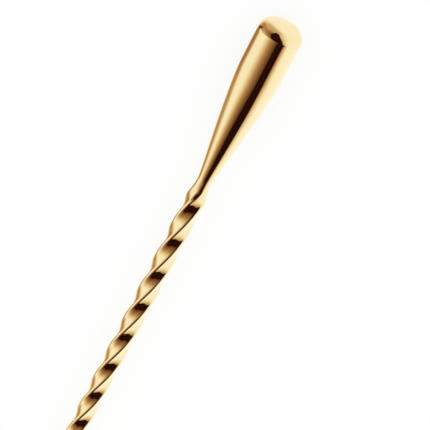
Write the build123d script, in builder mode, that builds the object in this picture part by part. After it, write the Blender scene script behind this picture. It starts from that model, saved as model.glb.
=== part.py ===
"""A bar spoon: a teardrop weight, a twisted four-cornered shaft and a deep bowl.

The spoon lies along X, with the teardrop at +X and the bowl, open side up, at -X. It
rests on the teardrop's land and on the bottom of the bowl, which both touch Z = 0. X = 0
is the middle of its length and Y = 0 is its plane of symmetry. Sizes are in millimetres.
"""

import os

from build123d import *

overall_length = 300.0

# Teardrop weight, turned from round bar
head_diameter = 11.7
head_land_length = 8.8
head_flank_length = 34.4
head_dome_height = 4.4
dome_fullness = 0.9
neck_handle = 2.5
shoulder_handle = 10.2

# Twisted shaft, drawn square bar with rounded corners. Its phase is how far a corner has turned
# from straight up at the weight's seam, in degrees
bar_width = 4.4
bar_corner_radius = 0.65
twist_pitch = 44.8
twist_phase = 36.0
neck_diameter = 4.1
neck_straight_length = 0.25
neck_flare_length = 6.2

# Brazed joints: each end of the shaft is a tenon in a blind socket
tenon_diameter = 2.9
head_tenon_length = 12.0
bowl_tenon_length = 6.0
braze_gap = 0.1
seam_groove = 0.25

# Bowl with its shank, forged in one piece
bowl_length = 36.0
bowl_width = 25.0
bowl_depth = 7.5
bowl_heel_length = 15.0
bowl_wall = 1.1
rim_round = 0.35
shank_length = 24.0
shank_waist_width = 5.2
shank_waist_thickness = 3.3
shank_root_width = 9.0
shank_root_thickness = 2.5
shank_root_depth = 3.0
rim_step = 0.5

# Places along the spoon and its axis
head_radius = head_diameter / 2
neck_radius = neck_diameter / 2
tenon_radius = tenon_diameter / 2
axis_height = head_radius
head_seam = overall_length / 2 - head_dome_height - head_land_length - head_flank_length
bowl_heel = bowl_length - overall_length / 2
bowl_seam = bowl_heel + shank_length
joints = (
    ("head_braze", head_seam, 1, head_tenon_length),
    ("bowl_braze", bowl_seam, -1, bowl_tenon_length),
)

spoon_axis = Axis((0, 0, axis_height), (1, 0, 0))
side_plane = Plane(origin=(0, 0, axis_height), x_dir=(1, 0, 0), z_dir=(0, -1, 0))


def cross_plane(x, height):
    """A plane across the spoon, with its x to the side and its y upwards."""
    return Plane(origin=(x, 0, height), x_dir=(0, 1, 0), z_dir=(1, 0, 0))


def tenon_outline(seam, inward, length):
    """Points (x, r) of an end of the shaft, from the tenon's tip out to the neck."""
    return [
        (seam + inward * length, 0),
        (seam + inward * length, tenon_radius),
        (seam, tenon_radius),
        (seam, neck_radius - seam_groove),
        (seam - inward * seam_groove, neck_radius),
    ]


def socket_outline(seam, inward, length):
    """Points (x, r) of the blind hole for a tenon, from its bottom out to the neck."""
    mouth = seam + inward * braze_gap
    return [
        (mouth + inward * length, 0),
        (mouth + inward * length, tenon_radius + braze_gap),
        (mouth, tenon_radius + braze_gap),
        (mouth, neck_radius - seam_groove),
        (mouth + inward * seam_groove, neck_radius),
    ]


# Teardrop weight, with its socket at the thin end
with BuildPart() as teardrop_head:
    with BuildSketch(side_plane):
        with BuildLine():
            land_start = head_seam + head_flank_length
            land_end = land_start + head_land_length
            dome_top = land_end + head_dome_height
            socket = Polyline(*socket_outline(head_seam, 1, head_tenon_length))
            flank = Bezier(
                socket @ 1,
                (head_seam + neck_handle, neck_radius),
                (land_start - shoulder_handle, head_radius),
                (land_start, head_radius),
            )
            land = Line(flank @ 1, (land_end, head_radius))
            dome = Bezier(
                land @ 1,
                (dome_top, head_radius),
                (dome_top, 0),
                weights=[1, dome_fullness, 1],
            )
            Line(dome @ 1, socket @ 0)
        make_face()
    revolve(axis=spoon_axis)

# Twisted shaft: the bar is twisted from end to end, then its necks and tenons are turned
with BuildPart() as twisted_shaft:
    bar_start = bowl_seam - bowl_tenon_length
    bar_length = head_seam + head_tenon_length - bar_start
    corner_angle = 45
    start_angle = twist_phase + corner_angle - 360 * (head_seam - bar_start) / twist_pitch
    with BuildSketch(cross_plane(bar_start, axis_height).rotated((start_angle, 0, 0))):
        Rectangle(bar_width, bar_width)
        fillet(vertices(), bar_corner_radius)
    bar_foot = Vector(bar_start, 0, axis_height)
    sweep(
        path=Edge.make_line(bar_foot, bar_foot + Vector(bar_length, 0, 0)),
        binormal=Edge.make_helix(
            twist_pitch, bar_length, bar_width, center=bar_foot, normal=(1, 0, 0)
        ),
    )
    with BuildSketch(side_plane):
        with BuildLine():
            clear_radius = bar_width
            tips = []
            flare_tops = []
            for name, seam, inward, tenon_length in joints:
                end = Polyline(*tenon_outline(seam, inward, tenon_length))
                flare_foot = (end @ 1).X - inward * neck_straight_length
                flare_top = flare_foot - inward * neck_flare_length
                neck = Line(end @ 1, (flare_foot, neck_radius))
                flare = Bezier(
                    neck @ 1,
                    ((flare_foot + flare_top) / 2, neck_radius),
                    (flare_top, clear_radius),
                )
                tips.append(end @ 0)
                flare_tops.append(flare @ 1)
            Line(*tips)
            Line(*flare_tops)
        make_face()
    revolve(axis=spoon_axis, mode=Mode.INTERSECT)

# Cup of the bowl, about its widest place: an egg cut off at the rim and hollowed. The egg is
# round across, so its radius follows from the bowl's width and depth, and its ends are drawn
# out until they come to their lengths at the rim
egg_radius = (bowl_width**2 / (4 * bowl_depth) + bowl_depth) / 2
egg_stretch = 2 * egg_radius / bowl_width
heel_reach = bowl_heel_length * egg_stretch
tip_reach = (bowl_length - bowl_heel_length) * egg_stretch


def egg(shrink):
    """Half balls drawn out to the tip and to the heel, less some wall, up to the rim."""
    radius = egg_radius - shrink
    with BuildPart() as drawn_ball:
        for reach, half in ((tip_reach, Keep.BOTTOM), (heel_reach, Keep.TOP)):
            ball = Sphere(radius, rotation=(0, 0, 90), mode=Mode.PRIVATE)
            half_ball = split(ball, bisect_by=Plane.YZ, keep=half, mode=Mode.PRIVATE)
            add(scale(half_ball, by=((reach - shrink) / radius, 1, 1), mode=Mode.PRIVATE))
        split(bisect_by=Plane.XY.offset(bowl_depth - egg_radius), keep=Keep.BOTTOM)
    return drawn_ball.part.moved(Location((0, 0, egg_radius)))


outside = egg(0)
middle_of_wall = egg(bowl_wall / 2)
inside = egg(bowl_wall)
with BuildPart() as cup:
    add(outside)
    add(inside, mode=Mode.SUBTRACT)
    fillet(cup.edges().group_by(Axis.Z)[-1], rim_round)

# Bowl: the shank goes from its turned end through an oval waist to a flat root, and ends
# in the middle of the cup's wall
with BuildPart() as bowl:
    shank_end = bowl_seam - bowl_tenon_length - 2 * braze_gap
    shank_root = bowl_heel - shank_root_depth
    root_top = bowl_depth - rim_step
    waist_top = (root_top + axis_height + neck_radius) / 2
    waist_height = waist_top - shank_waist_thickness / 2
    with BuildSketch(cross_plane(shank_end, axis_height)):
        Circle(neck_radius)
    with BuildSketch(cross_plane((shank_end + shank_root) / 2, waist_height)):
        Ellipse(shank_waist_width / 2, shank_waist_thickness / 2)
    with BuildSketch(cross_plane(shank_root, root_top - shank_root_thickness / 2)):
        Ellipse(shank_root_width / 2, shank_root_thickness / 2)
    loft()
    with BuildSketch(side_plane):
        with BuildLine():
            socket = Polyline(*socket_outline(bowl_seam, -1, bowl_tenon_length))
            Polyline(socket @ 1, (shank_end, neck_radius), (shank_end, 0), socket @ 0)
        make_face()
    revolve(axis=spoon_axis)
    cup_place = Location((bowl_heel - bowl_heel_length, 0, 0))
    add(middle_of_wall.moved(cup_place), mode=Mode.SUBTRACT)
    add(cup.part.moved(cup_place))

# Braze: the filler round each tenon, at its tip and in the groove at the seam
brazes = []
for name, seam, inward, tenon_length in joints:
    with BuildPart() as braze:
        with BuildSketch(side_plane):
            with BuildLine():
                inner = Polyline(*tenon_outline(seam, inward, tenon_length))
                outer = Polyline(*socket_outline(seam, inward, tenon_length))
                Line(inner @ 0, outer @ 0)
                Line(inner @ 1, outer @ 1)
            make_face()
        revolve(axis=spoon_axis)
    braze.part.label = name
    brazes.append(braze)

teardrop_head.part.label = "teardrop_head"
twisted_shaft.part.label = "twisted_shaft"
bowl.part.label = "bowl"

os.makedirs("parts", exist_ok=True)
for piece in (teardrop_head, twisted_shaft, bowl, *brazes):
    export_step(piece.part, f"parts/{piece.part.label}.step")
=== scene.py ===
"""A gold-plated bar spoon: a turned teardrop weight, a twisted square shaft and a forged bowl,
each with a smooth polished skin, laid on a pale floor in a white tent."""

from math import cos, pi, radians, sin, sqrt

import bpy
import numpy as np
from mathutils import Matrix, Vector


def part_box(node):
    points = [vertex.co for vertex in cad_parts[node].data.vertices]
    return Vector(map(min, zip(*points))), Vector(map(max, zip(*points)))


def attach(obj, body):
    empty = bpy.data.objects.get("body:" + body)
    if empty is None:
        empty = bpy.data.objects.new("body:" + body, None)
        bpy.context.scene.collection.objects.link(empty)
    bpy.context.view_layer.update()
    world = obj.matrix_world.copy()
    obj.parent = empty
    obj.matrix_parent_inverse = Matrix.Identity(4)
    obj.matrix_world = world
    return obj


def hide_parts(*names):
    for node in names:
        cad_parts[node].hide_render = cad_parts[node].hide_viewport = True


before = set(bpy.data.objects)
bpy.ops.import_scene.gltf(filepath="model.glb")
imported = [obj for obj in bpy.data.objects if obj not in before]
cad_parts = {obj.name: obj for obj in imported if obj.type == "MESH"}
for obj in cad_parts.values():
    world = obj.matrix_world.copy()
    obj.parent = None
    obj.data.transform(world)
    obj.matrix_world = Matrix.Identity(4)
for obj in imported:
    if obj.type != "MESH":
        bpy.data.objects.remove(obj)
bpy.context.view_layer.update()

# Teardrop weight. Turned from round bar and polished, with a slow flank, a short straight
# land and a round domed end. Its thin end has a blind socket, which takes the shaft's tenon.
MM = 0.001
head_low, head_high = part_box("teardrop_head")
head_radius = (head_high.z - head_low.z) / 2
axis_height = (head_high.z + head_low.z) / 2
head_land_length = 8.8 * MM
head_dome_height = 4.4 * MM
dome_fullness = 0.9
neck_handle = 2.5 * MM
shoulder_handle = 10.2 * MM
neck_radius = 2.05 * MM
tenon_radius = 1.45 * MM
head_tenon_length = 12.0 * MM
braze_gap = 0.1 * MM
seam_groove = 0.25 * MM
axis_line = 0.02 * MM
head_seam = head_low.x - braze_gap


def socket_outline(seam, inward, length):
    """Points (x, r) of the blind hole for a tenon, from its bottom out to the neck."""
    mouth = seam + inward * braze_gap
    return np.array([
        (mouth + inward * length, axis_line),
        (mouth + inward * length, tenon_radius + braze_gap),
        (mouth, tenon_radius + braze_gap),
        (mouth, neck_radius - seam_groove),
        (mouth + inward * seam_groove, neck_radius),
    ])


def teardrop_outline():
    """Points (x, r): the socket, a cubic Bezier for the flank, the land, and a rational Bezier
    for the dome, a little fuller than an ellipse, whose last ring lies just short of its pole."""
    land_end = head_high.x - head_dome_height
    land_start = land_end - head_land_length
    socket = socket_outline(head_seam, 1, head_tenon_length)
    handles = np.array([
        socket[-1],
        (head_seam + neck_handle, neck_radius),
        (land_start - shoulder_handle, head_radius),
        (land_start, head_radius),
    ])
    flank_rings, land_rings, dome_rings = 240, 12, 89
    t = np.linspace(0, 1, flank_rings + 1)[1:, None]
    weights = np.hstack([(1 - t) ** 3, 3 * (1 - t) ** 2 * t, 3 * (1 - t) * t**2, t**3])
    flank = weights @ handles
    land = np.column_stack([
        np.linspace(land_start, land_end, land_rings + 1)[1:],
        np.full(land_rings, head_radius),
    ])
    t = np.linspace(0, 1, dome_rings + 2)[1:-1]
    pull = 2 * dome_fullness * t * (1 - t)
    total = (1 - t) ** 2 + pull + t**2
    dome = np.column_stack([
        land_end + head_dome_height * (pull + t**2) / total,
        head_radius * ((1 - t) ** 2 + pull) / total,
    ])
    return np.vstack([socket, flank, land, dome])


def turned_rings(outline, around=160):
    """Rings of points about the spoon's axis: x as given, and a circle of radius r."""
    angle = np.linspace(0, 2 * pi, around, endpoint=False)
    x = np.repeat(outline[:, :1], around, axis=1)
    side = outline[:, 1:] * np.sin(angle)
    up = axis_height + outline[:, 1:] * np.cos(angle)
    return np.stack([x, -side, up], axis=-1)


def skin(name, rings, low_pole, high_pole):
    """A closed piece from rings of points: quads between each two rings, and a fan from the
    first and the last ring to the pole in its middle. Edges over the crisp angle stay sharp."""
    crisp_angle = radians(35)
    rows, around = rings.shape[:2]
    here = np.arange(around)
    nxt = (here + 1) % around
    row = np.arange(rows - 1)[:, None] * around
    quads = np.stack([row + here, row + nxt, row + around + nxt, row + around + here], axis=-1)
    last = (rows - 1) * around
    low_fan = np.stack([nxt, here, np.full(around, rows * around)], axis=-1)
    high_fan = np.stack([last + here, last + nxt, np.full(around, rows * around + 1)], axis=-1)
    points = np.vstack([rings.reshape(-1, 3), low_pole, high_pole])
    corners = np.concatenate([quads.ravel(), low_fan.ravel(), high_fan.ravel()])
    sizes = np.repeat([4, 3], [(rows - 1) * around, 2 * around])
    mesh = bpy.data.meshes.new(name)
    mesh.vertices.add(len(points))
    mesh.vertices.foreach_set("co", points.astype(np.float32).ravel())
    mesh.loops.add(len(corners))
    mesh.loops.foreach_set("vertex_index", corners.astype(np.int32))
    mesh.polygons.add(len(sizes))
    mesh.polygons.foreach_set("loop_start", (np.cumsum(sizes) - sizes).astype(np.int32))
    mesh.polygons.foreach_set("use_smooth", np.ones(len(sizes), bool))
    mesh.update(calc_edges=True)
    mesh.validate()
    mesh.set_sharp_from_angle(angle=crisp_angle)
    piece = bpy.data.objects.new(name, mesh)
    bpy.context.scene.collection.objects.link(piece)
    return piece


def polished_gold(name):
    """Bright gold plate on polished steel: a mirror with faint buffing lines along the spoon
    and a slow drift of tone."""
    material = bpy.data.materials.new(name)
    material.use_nodes = True
    nodes = material.node_tree.nodes
    link = material.node_tree.links.new
    shader = nodes["Principled BSDF"]
    shader.inputs["Metallic"].default_value = 1.0
    place = nodes.new("ShaderNodeTexCoord").outputs["Object"]

    drift = nodes.new("ShaderNodeTexNoise")
    drift.inputs["Scale"].default_value = 70.0
    drift.inputs["Detail"].default_value = 2.0
    link(place, drift.inputs["Vector"])
    tone = nodes.new("ShaderNodeValToRGB")
    tone.color_ramp.elements[0].position = 0.3
    tone.color_ramp.elements[0].color = (0.94, 0.785, 0.445, 1)
    tone.color_ramp.elements[1].position = 0.7
    tone.color_ramp.elements[1].color = (0.955, 0.805, 0.465, 1)
    link(drift.outputs["Fac"], tone.inputs["Fac"])
    link(tone.outputs["Color"], shader.inputs["Base Color"])

    along = nodes.new("ShaderNodeMapping")
    along.inputs["Scale"].default_value = (150.0, 5000.0, 5000.0)
    link(place, along.inputs["Vector"])
    buffing = nodes.new("ShaderNodeTexNoise")
    buffing.inputs["Scale"].default_value = 1.0
    buffing.inputs["Detail"].default_value = 3.0
    link(along.outputs["Vector"], buffing.inputs["Vector"])
    gloss = nodes.new("ShaderNodeMapRange")
    gloss.inputs["From Min"].default_value = 0.3
    gloss.inputs["From Max"].default_value = 0.7
    gloss.inputs["To Min"].default_value = 0.03
    gloss.inputs["To Max"].default_value = 0.06
    link(buffing.outputs["Fac"], gloss.inputs["Value"])
    link(gloss.outputs["Result"], shader.inputs["Roughness"])
    return material


outline = teardrop_outline()
head = skin(
    "head_skin",
    turned_rings(outline),
    (outline[0, 0], 0, axis_height),
    (head_high.x, 0, axis_height),
)
gold_plate = polished_gold("gold_plate")
head.data.materials.append(gold_plate)
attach(head, "root")
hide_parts("teardrop_head")

# Twisted shaft. Drawn square bar with rounded corners, twisted from end to end. Its necks are
# turned down to a round and its ends to tenons. Next to the CAD solid the flare is longer, the
# corners are rounder, the bar is a little wider and the phase is 2 degrees less.
bar_width = 4.45 * MM
bar_corner_radius = 0.8 * MM
twist_pitch = 44.8 * MM
twist_phase = radians(34)
bowl_tenon_length = 6.0 * MM
neck_straight_length = 0.25 * MM
neck_flare_length = 9.0 * MM
neck_blend = 0.4 * MM
shaft_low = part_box("twisted_shaft")[0]
bowl_seam = shaft_low.x + bowl_tenon_length
joints = (
    ("head_braze", head_seam, 1, head_tenon_length),
    ("bowl_braze", bowl_seam, -1, bowl_tenon_length),
)


def tenon_outline(seam, inward, length):
    """Points (x, r) of an end of the shaft, from the tenon's tip out to the neck."""
    return np.array([
        (seam + inward * length, axis_line),
        (seam + inward * length, tenon_radius),
        (seam, tenon_radius),
        (seam, neck_radius - seam_groove),
        (seam - inward * seam_groove, neck_radius),
    ])


def bar_section():
    """The bar's section, once around: angles from a corner, and the reach at each. A corner is
    a quarter turn of an arc, and a flat joins it to the next one."""
    corner_points, flat_points = 17, 11
    inset = (bar_width / 2 - bar_corner_radius) * sqrt(2)
    bend = np.linspace(-pi / 4, pi / 4, corner_points)
    corner = np.column_stack([
        inset + bar_corner_radius * np.cos(bend),
        bar_corner_radius * np.sin(bend),
    ])
    next_corner = np.array([-corner[0, 1], corner[0, 0]])
    share = np.linspace(0, 1, flat_points + 2)[1:-1, None]
    quarter = np.vstack([corner, corner[-1] + (next_corner - corner[-1]) * share])
    angle = np.arctan2(quarter[:, 1], quarter[:, 0])
    corners = np.arange(4)[:, None] * pi / 2
    return (corners + angle).ravel(), np.tile(np.hypot(*quarter.T), 4)


def soft_least(a, b, blend):
    """The lesser of two values, eased by a quadratic where they are closer than the blend."""
    share = np.clip(0.5 + 0.5 * (b - a) / blend, 0, 1)
    return b * (1 - share) + a * share - blend * share * (1 - share)


def turned_limit():
    """Points (x, r) that the bar is turned down to: tenon, neck, flare and long middle."""
    flare_rings, middle_rings = 40, 578
    ends = []
    for name, seam, inward, length in joints:
        foot = seam - inward * (seam_groove + neck_straight_length)
        t = np.linspace(0, 1, flare_rings + 1)[1:]
        flare = np.column_stack([
            foot - inward * neck_flare_length * t,
            neck_radius + (bar_width - neck_radius) * t**2,
        ])
        ends.append(np.vstack([tenon_outline(seam, inward, length), (foot, neck_radius), flare]))
    high, low = ends
    middle = np.linspace(low[-1, 0], high[-1, 0], middle_rings + 2)[1:-1]
    between = np.column_stack([middle, np.full(len(middle), bar_width)])
    return np.vstack([low, between, high[::-1]])


limit = turned_limit()
angle, reach = bar_section()
turn = angle + twist_phase + 2 * pi * (limit[:, :1] - head_seam) / twist_pitch
reach = soft_least(reach, limit[:, 1:], neck_blend)
shaft_rings = np.stack([
    np.repeat(limit[:, :1], len(angle), axis=1),
    -reach * np.sin(turn),
    axis_height + reach * np.cos(turn),
], axis=-1)
shaft = skin(
    "shaft_skin",
    shaft_rings,
    (limit[0, 0], 0, axis_height),
    (limit[-1, 0], 0, axis_height),
)
shaft.data.materials.append(gold_plate)
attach(shaft, "root")
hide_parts("twisted_shaft")

# Cup of the bowl. Forged egg-shaped, with an even wall and a rim rounded over. It is
# laid out about the upright line through its widest place: down the outside from the middle
# of the bottom, over the rim and back to the middle of the hollow.
overall_length = 300.0 * MM
bowl_width = 25.0 * MM
bowl_depth = 7.5 * MM
bowl_length = 36.0 * MM
bowl_heel_length = 15.0 * MM
bowl_wall = 1.1 * MM
rim_round = 0.35 * MM
egg_radius = (bowl_width**2 / (4 * bowl_depth) + bowl_depth) / 2
egg_stretch = 2 * egg_radius / bowl_width
heel_reach = bowl_heel_length * egg_stretch
tip_reach = (bowl_length - bowl_heel_length) * egg_stretch
cup_middle = head_high.x - overall_length + bowl_length - bowl_heel_length


def drawn_out(toward_tip, shrink=0.0):
    """How much longer than a ball the egg is in a direction from -1, the heel, to 1, the tip.
    The two halves run into each other softly at the widest place."""
    softness = 0.35
    lean = toward_tip * sqrt(1 + softness**2) / np.sqrt(toward_tip**2 + softness**2)
    reach = (tip_reach + heel_reach) / 2 + (tip_reach - heel_reach) / 2 * lean
    return (reach - shrink) / (egg_radius - shrink)


def level_curve(turn, shrink=0.0):
    """The egg's outline at any height, for a width of 2: points (x, y), with the turn counted
    from the tip. The outlines at all heights are alike."""
    return np.stack([-drawn_out(np.cos(turn), shrink) * np.cos(turn), -np.sin(turn)], axis=-1)


def wall_and_lip(turn, radius, outward):
    """One side of the wall in each direction, from the bottom up to the lip, then the quarter
    arc of the lip up to its crest: rings of points about the widest place. The arc is as large
    in all directions, and starts where it touches the wall, found by halving."""
    wall_rings, lip_rings, halvings = 99, 13, 40
    nudge = 0.001
    shrink = egg_radius - radius
    curve = level_curve(turn, shrink)
    ahead = level_curve(turn + nudge, shrink) - level_curve(turn - nudge, shrink)
    normal = np.stack([ahead[:, 1], -ahead[:, 0]], axis=-1)
    normal /= np.linalg.norm(normal, axis=1)[:, None]
    spread = (curve * normal).sum(axis=1)

    def leaning(climb):
        """The wall's outward direction, as a part across and a part up."""
        across, up = np.sin(climb), -spread * np.cos(climb)
        return outward * across / np.hypot(across, up), outward * up / np.hypot(across, up)

    low, high = np.zeros(len(turn)), np.full(len(turn), pi / 2)
    for _ in range(halvings):
        climb = (low + high) / 2
        centre = egg_radius - radius * np.cos(climb) - rim_round * leaning(climb)[1]
        below = centre < bowl_depth - rim_round
        low, high = np.where(below, climb, low), np.where(below, high, climb)
    across, up = leaning(climb)
    share = np.linspace(0, 1, wall_rings + 1)[1:, None]
    wall = radius * np.sin(share * climb)[..., None] * curve
    wall_height = egg_radius - radius * np.cos(share * climb)
    lip_centre = radius * np.sin(climb)[:, None] * curve - rim_round * across[:, None] * normal
    start = np.arctan2(up, across)
    bend = start + (pi / 2 - start) * np.linspace(0, 1, lip_rings + 1)[1:, None]
    lip = lip_centre + rim_round * np.cos(bend)[..., None] * normal
    lip_height = bowl_depth - rim_round + rim_round * np.sin(bend)
    flat = np.vstack([wall, lip])
    height = np.vstack([wall_height, lip_height])
    return np.concatenate([flat, height[..., None]], axis=-1)


def cup_rings(around=224):
    """Rings of the cup: up the outside, over the rim and down the hollow."""
    turn = np.linspace(0, 2 * pi, around, endpoint=False)
    outside = wall_and_lip(turn, egg_radius, 1)
    hollow = wall_and_lip(turn, egg_radius - bowl_wall, -1)
    return np.concatenate([outside, hollow[::-1]]) + (cup_middle, 0, 0)


cup = skin(
    "cup_skin",
    cup_rings(),
    (cup_middle, 0, 0),
    (cup_middle, 0, bowl_wall),
)
cup.data.materials.append(gold_plate)
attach(cup, "root")
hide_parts("bowl")

# Shank of the bowl. Drawn out in forging from a round socket through an oval waist to a flat
# root. Its top runs level into the rim, and its sides and its underside spread into the cup.
shank_waist_width = 5.2 * MM
shank_waist_thickness = 3.3 * MM
shank_root_width = 9.0 * MM
shank_root_thickness = 2.5 * MM
shank_root_depth = 3.0 * MM
rim_step = 0.5 * MM
spread_aside = 3.0 * MM
spread_below = 2.6 * MM
top_rise = rim_step - 0.01 * MM
top_rise_length = 7.0 * MM
depth_in_wall = 0.4 * MM
bowl_heel = cup_middle + bowl_heel_length
shank_end = bowl_seam - bowl_tenon_length - 2 * braze_gap
shank_root = bowl_heel - shank_root_depth
root_height = bowl_depth - rim_step - shank_root_thickness / 2
root_middle = np.array([0, root_height])


def level_start(first, middle, last, share):
    """Starts level at the first value and goes through the middle one to the last."""
    cube = 2 * (last - first) - 8 * (middle - first)
    return first + (last - first - cube) * share**2 + cube * share**3


def shank_point(x, angle, grow=0.0):
    """The shank's skin at x, at an angle from straight up: (x, side, height). Its section is an
    oval, which grows to the sides and downwards where it spreads into the cup, and whose top
    rises to the rim by a half wave of a cosine."""
    share = (shank_end - x) / (shank_end - shank_root)
    half_width = level_start(neck_radius, shank_waist_width / 2, shank_root_width / 2, share)
    half_thickness = level_start(
        neck_radius, shank_waist_thickness / 2, shank_root_thickness / 2, share
    )
    middle = level_start(axis_height, (axis_height + root_height) / 2, root_height, share)
    near_heel = np.clip((bowl_heel + top_rise_length - x) / top_rise_length, 0, 1)
    rise = top_rise * (1 - np.cos(pi * near_heel)) / 2 * (1 + np.cos(angle)) / 2
    drop = grow * spread_below * np.minimum(np.cos(angle), 0) ** 2
    side = -(half_width + grow * spread_aside) * np.sin(angle)
    return np.stack([x, side, middle + half_thickness * np.cos(angle) + rise - drop], axis=-1)


def heel_x(side, height):
    """Where the cup's outside lies on its heel's side."""
    across = np.sqrt(egg_radius**2 - (egg_radius - height) ** 2)
    toward_tip = -np.sqrt(1 - (side / across) ** 2)
    return cup_middle - across * toward_tip * drawn_out(toward_tip)


def shank_rings(around=128):
    """Rings of the shank from the socket to its end inside the cup's wall, turned about. A
    quadratic Bezier blends each line of it into the cup, then slips under the cup's skin."""
    blend_rings, closing_rings, drawn_rings, tries = 24, 8, 70, 30
    run_in = 0.3 * MM
    slip_depth = 0.04 * MM
    angle = np.linspace(0, 2 * pi, around, endpoint=False)

    def on_cup(grow, sink=0.0):
        """Where the shank meets the cup's outside, found by going back and forth."""
        x = np.full(around, bowl_heel)
        for _ in range(tries):
            at = shank_point(x, angle, grow)
            x = heel_x(at[:, 1], at[:, 2])
        at[:, 0] = x - sink
        return at

    end = on_cup(1)
    slope = (on_cup(1.01)[:, 0] - on_cup(0.99)[:, 0]) / 0.02
    control = shank_point(end[:, 0] - slope, angle)
    start = control[:, 0] + np.linalg.norm(end - control, axis=1) + run_in
    t = np.linspace(0, 1, blend_rings + 1)[1:, None, None]
    curve = (1 - t) ** 2 * shank_point(start, angle) + 2 * t * (1 - t) * control + t**2 * end
    slip = on_cup(1.05, slip_depth)
    inmost = on_cup(1.1)[:, 1:]
    closing = np.linspace(1, 0.02, closing_rings)[:, None, None]
    side, height = np.moveaxis(root_middle + closing * (inmost - root_middle), -1, 0)
    sunk = np.stack([heel_x(side, height) - depth_in_wall, side, height], axis=-1)
    share = np.linspace(0, 1, drawn_rings)[:, None]
    drawn = shank_point(shank_end + (start - shank_end) * share, angle)
    socket = socket_outline(bowl_seam, -1, bowl_tenon_length)
    turned = turned_rings(socket, around)
    return np.concatenate([turned, drawn, curve, slip[None], sunk])[::-1]


rings = shank_rings()
shank = skin(
    "shank_skin",
    rings,
    (heel_x(*root_middle) - depth_in_wall, 0, root_height),
    (rings[-1, 0, 0], 0, axis_height),
)
shank.data.materials.append(gold_plate)
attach(shank, "root")

# Brazes. Silver filler round each tenon, drawn in by the heat, wiped flush with the necks and
# plated over with the rest.
braze_gold = polished_gold("braze_gold")
for name, seam, inward, length in joints:
    inside = tenon_outline(seam, inward, length)
    around_it = socket_outline(seam, inward, length)[::-1]
    outline = np.vstack([inside, around_it])[::inward]
    filler = skin(
        name + "_skin",
        turned_rings(outline),
        (outline[0, 0], 0, axis_height),
        (outline[-1, 0], 0, axis_height),
    )
    filler.data.materials.append(braze_gold)
    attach(filler, "root")
    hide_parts(name)

# Floor. Pale paper, soft in shadow, and burnt out to white where the camera looks at it. The
# metal looks past it to the tent.
floor_mesh = bpy.data.meshes.new("floor")
half = 3.0
glow_share = 0.85
floor_mesh.from_pydata(
    [(-half, -half, 0), (half, -half, 0), (half, half, 0), (-half, half, 0)], [], [(0, 1, 2, 3)]
)
floor = bpy.data.objects.new("floor", floor_mesh)
bpy.context.scene.collection.objects.link(floor)
paper = bpy.data.materials.new("pale_paper")
paper.use_nodes = True
nodes = paper.node_tree.nodes
link = paper.node_tree.links.new
nodes.clear()
out = nodes.new("ShaderNodeOutputMaterial")
diffuse = nodes.new("ShaderNodeBsdfDiffuse")
diffuse.inputs["Color"].default_value = (1, 1, 1, 1)
glow = nodes.new("ShaderNodeEmission")
glow.inputs["Color"].default_value = (1, 1, 1, 1)
seen = nodes.new("ShaderNodeMixShader")
seen.inputs["Fac"].default_value = glow_share
link(diffuse.outputs["BSDF"], seen.inputs[1])
link(glow.outputs["Emission"], seen.inputs[2])
path = nodes.new("ShaderNodeLightPath")
clear = nodes.new("ShaderNodeBsdfTransparent")
by_camera = nodes.new("ShaderNodeMixShader")
link(path.outputs["Is Camera Ray"], by_camera.inputs["Fac"])
link(diffuse.outputs["BSDF"], by_camera.inputs[1])
link(seen.outputs["Shader"], by_camera.inputs[2])
by_metal = nodes.new("ShaderNodeMixShader")
link(path.outputs["Is Glossy Ray"], by_metal.inputs["Fac"])
link(by_camera.outputs["Shader"], by_metal.inputs[1])
link(clear.outputs["BSDF"], by_metal.inputs[2])
link(by_metal.outputs["Shader"], out.inputs["Surface"])
floor_mesh.materials.append(paper)

# Studio. A white tent round the spoon with an open side, which the metal shows as a near-black
# gap with brown about it. Directions are a turn about the spoon's axis, from straight up
# towards -Y, and a rise towards +X, both in degrees. The edges, folds and depths below are set
# so that the bands come out on the gold as on the real spoon, seen from the camera.
world = bpy.data.worlds.new("studio")
bpy.context.scene.world = world
world.use_nodes = True
nodes = world.node_tree.nodes
link = world.node_tree.links.new
nodes.clear()


def combine(operation, *inputs):
    """Math nodes in a row, from the first two inputs on. An input is a number or an output."""
    total = inputs[0]
    for item in inputs[1:] or (0,):
        node = nodes.new("ShaderNodeMath")
        node.operation = operation
        for socket, number in zip(node.inputs, (total, item)):
            if isinstance(number, (int, float)):
                socket.default_value = number
            else:
                link(number, socket)
        total = node.outputs[0]
    return total


def ease(item, start, end, low=0.0, high=1.0, kind="SMOOTHSTEP"):
    """Goes from low to high as item goes from start to end, and stays within them."""
    node = nodes.new("ShaderNodeMapRange")
    node.interpolation_type = kind
    names = ("From Min", "From Max", "To Min", "To Max")
    for socket, number in zip(names, (start, end, low, high)):
        node.inputs[socket].default_value = number
    link(item, node.inputs["Value"])
    return node.outputs["Result"]


direction = nodes.new("ShaderNodeSeparateXYZ")
generated = nodes.new("ShaderNodeTexCoord").outputs["Generated"]
link(generated, direction.inputs["Vector"])
in_degrees = 180 / pi
rise = combine("MULTIPLY", combine("ARCSINE", direction.outputs["X"]), in_degrees)
towards_minus_y = combine("MULTIPLY", direction.outputs["Y"], -1)
about = combine("MULTIPLY", combine("ARCTAN2", towards_minus_y, direction.outputs["Z"]), in_degrees)

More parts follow.
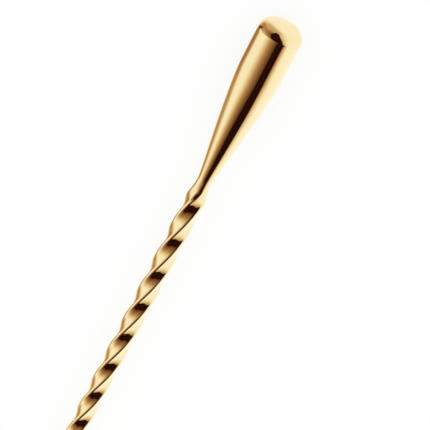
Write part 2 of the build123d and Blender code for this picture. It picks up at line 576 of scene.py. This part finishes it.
# the open side's left and right edges, which lean as they rise
left_edge = combine(
    "ADD",
    ease(rise, -52, -42, 6, 0),
    ease(rise, -40, -26, -9, 0),
    ease(rise, -16.5, -9, 7, 15),
    ease(rise, -9, -4, 0, -45.5),
    ease(rise, -1, 7, 0, -9),
    ease(rise, 20, 48, 0, 12),
)
right_edge = combine(
    "ADD",
    ease(rise, -52, -42, -4, 0),
    ease(rise, -40, -20, 51.5, 42.5),
    ease(rise, -16.5, -10, 0, 5),
    ease(rise, -9, -4, 0, -14.5),
    ease(rise, 0, 48, 0, -35, "LINEAR"),
)
past_left = combine("SUBTRACT", about, left_edge)
past_right = combine("SUBTRACT", about, right_edge)
before_right = ease(past_right, -6, 6, 1, 0)

# how deep the brown is, part by part: the gap, the shaded cloth on its left with a straight far
# edge, a fold behind the camera's left, and a thin fold on the right
gap = combine(
    "MULTIPLY", ease(past_left, -3, 3), ease(past_right, -2.5, 3, 1, 0), ease(rise, 42, 56, 1, 0)
)
level = combine(
    "ADD",
    ease(rise, -13, -5, 0, 0.34),
    ease(rise, -5, 12, 0, 0.16, "LINEAR"),
    ease(rise, 14, 34, 0, -0.13),
)
away_from_far_edge = (-0.316, 0.671, 0.671)
across_far_edge = nodes.new("ShaderNodeVectorMath")
across_far_edge.operation = "DOT_PRODUCT"
across_far_edge.inputs[1].default_value = away_from_far_edge
link(generated, across_far_edge.inputs[0])
shaded = combine("MULTIPLY", level, ease(across_far_edge.outputs["Value"], -0.29, 0.29))
darker_below = combine(
    "MULTIPLY", ease(past_left, -66, 2, 0, 0.87, "LINEAR"), ease(rise, -10, -4, 1, 0)
)
darker_above = combine(
    "MULTIPLY",
    ease(past_left, -36, 0, 0, 0.25, "LINEAR"),
    ease(rise, -10, -5),
    ease(rise, 28, 48, 1, 0),
)
left_cloth = combine("MULTIPLY", combine("ADD", shaded, darker_below, darker_above), before_right)
back_line = combine(
    "ADD",
    ease(rise, -46, -20, -103, -129, "LINEAR"),
    ease(rise, -20, -16, 0, 6.5),
    ease(rise, -7, 1, 0, 16),
)
past_back = combine("DIVIDE", combine("SUBTRACT", about, back_line), ease(rise, -20, -13, 1, 0.56))
back_depth = combine(
    "ADD",
    ease(rise, -58, -40, 0.24, 0.44),
    ease(rise, -28, -16, 0, 0.13),
    ease(rise, -17, -5, 0, 0.3),
)
back_fold = combine(
    "MULTIPLY",
    ease(past_back, -32, -8),
    ease(past_back, 8, 38, 1, 0),
    back_depth,
    ease(rise, 1, 14, 1, 0),
)
right_width = combine("SUBTRACT", ease(rise, -36, -8, 84, 62), right_edge)
right_depth = combine(
    "ADD",
    ease(rise, -32, -22, 0.42, 0.55),
    ease(rise, -14, -6, 0, -0.13),
    ease(rise, 20, 45, 0, -0.06),
)
right_fold = combine(
    "MULTIPLY",
    combine("POWER", ease(combine("DIVIDE", past_right, right_width), 0, 1, 1, 0, "LINEAR"), 1.3),
    right_depth,
    ease(past_right, -14, -6),
    ease(rise, 62, 76, 1, 0),
)
depth = combine("MAXIMUM", gap, left_cloth, back_fold, right_fold)

brown = nodes.new("ShaderNodeValToRGB")
brown.color_ramp.elements.remove(brown.color_ramp.elements[1])
stops = (
    (0.0, (1.0, 1.0, 1.0)),
    (0.15, (0.886, 0.806, 0.683)),
    (0.3, (0.719, 0.55, 0.387)),
    (0.45, (0.473, 0.289, 0.153)),
    (0.6, (0.316, 0.17, 0.083)),
    (0.75, (0.188, 0.084, 0.039)),
    (0.9, (0.073, 0.024, 0.013)),
    (1.0, (0.018, 0.004, 0.002)),
)
brown.color_ramp.elements[0].color = (*stops[0][1], 1)
for position, colour in stops[1:]:
    brown.color_ramp.elements.new(position).color = (*colour, 1)
link(depth, brown.inputs["Fac"])

# the tent's right side is a little cooler, which makes the gold look paler there
cooler = nodes.new("ShaderNodeMix")
cooler.data_type = "RGBA"
cooler.inputs["A"].default_value = (1, 1, 1, 1)
cooler.inputs["B"].default_value = (1.08, 1.10, 1.24, 1)
to_the_right = combine(
    "MAXIMUM", ease(about, 55, 125, 0, 1, "LINEAR"), ease(about, -180, -150, 1, 0)
)
link(combine("MULTIPLY", to_the_right, ease(rise, -24, -5, 1, 0.4)), cooler.inputs["Factor"])
cloth = nodes.new("ShaderNodeMix")
cloth.data_type = "RGBA"
cloth.blend_type = "MULTIPLY"
cloth.inputs["Factor"].default_value = 1.0
link(brown.outputs["Color"], cloth.inputs["A"])
link(cooler.outputs["Result"], cloth.inputs["B"])

path = nodes.new("ShaderNodeLightPath")
tent = nodes.new("ShaderNodeBackground")
tent.inputs["Strength"].default_value = 1.0
link(cloth.outputs["Result"], tent.inputs["Color"])
plain = nodes.new("ShaderNodeBackground")
plain.inputs["Color"].default_value = (1, 1, 1, 1)
plain.inputs["Strength"].default_value = 1.0
pick = nodes.new("ShaderNodeMixShader")
link(path.outputs["Is Glossy Ray"], pick.inputs["Fac"])
link(plain.outputs["Background"], pick.inputs[1])
link(tent.outputs["Background"], pick.inputs[2])
out = nodes.new("ShaderNodeOutputWorld")
link(pick.outputs["Shader"], out.inputs["Surface"])

# Camera. It looks down on the weight's end of the spoon from a little beyond the weight.
tilt = radians(27)
roll = radians(27.9)
distance = 0.302
focal_length = 96.95
aim_point = Vector((head_high.x - 55.0 * MM, -6.5 * MM, axis_height))
towards = Vector((sin(tilt), 0, cos(tilt)))
spoon_up = Vector((cos(tilt), 0, -sin(tilt)))
across = Vector((0, -1, 0))
picture_up = spoon_up * cos(roll) - across * sin(roll)
picture_right = spoon_up * sin(roll) + across * cos(roll)
camera_data = bpy.data.cameras.new("camera")
camera_data.sensor_width = 36.0
camera_data.lens = focal_length
camera_data.clip_start = 0.01
camera = bpy.data.objects.new("camera", camera_data)
axes = Matrix((picture_right, picture_up, towards)).transposed().to_4x4()
camera.matrix_world = Matrix.Translation(aim_point + towards * distance) @ axes
bpy.context.scene.collection.objects.link(camera)
bpy.context.scene.camera = camera
bpy.context.scene.view_settings.view_transform = "Standard"
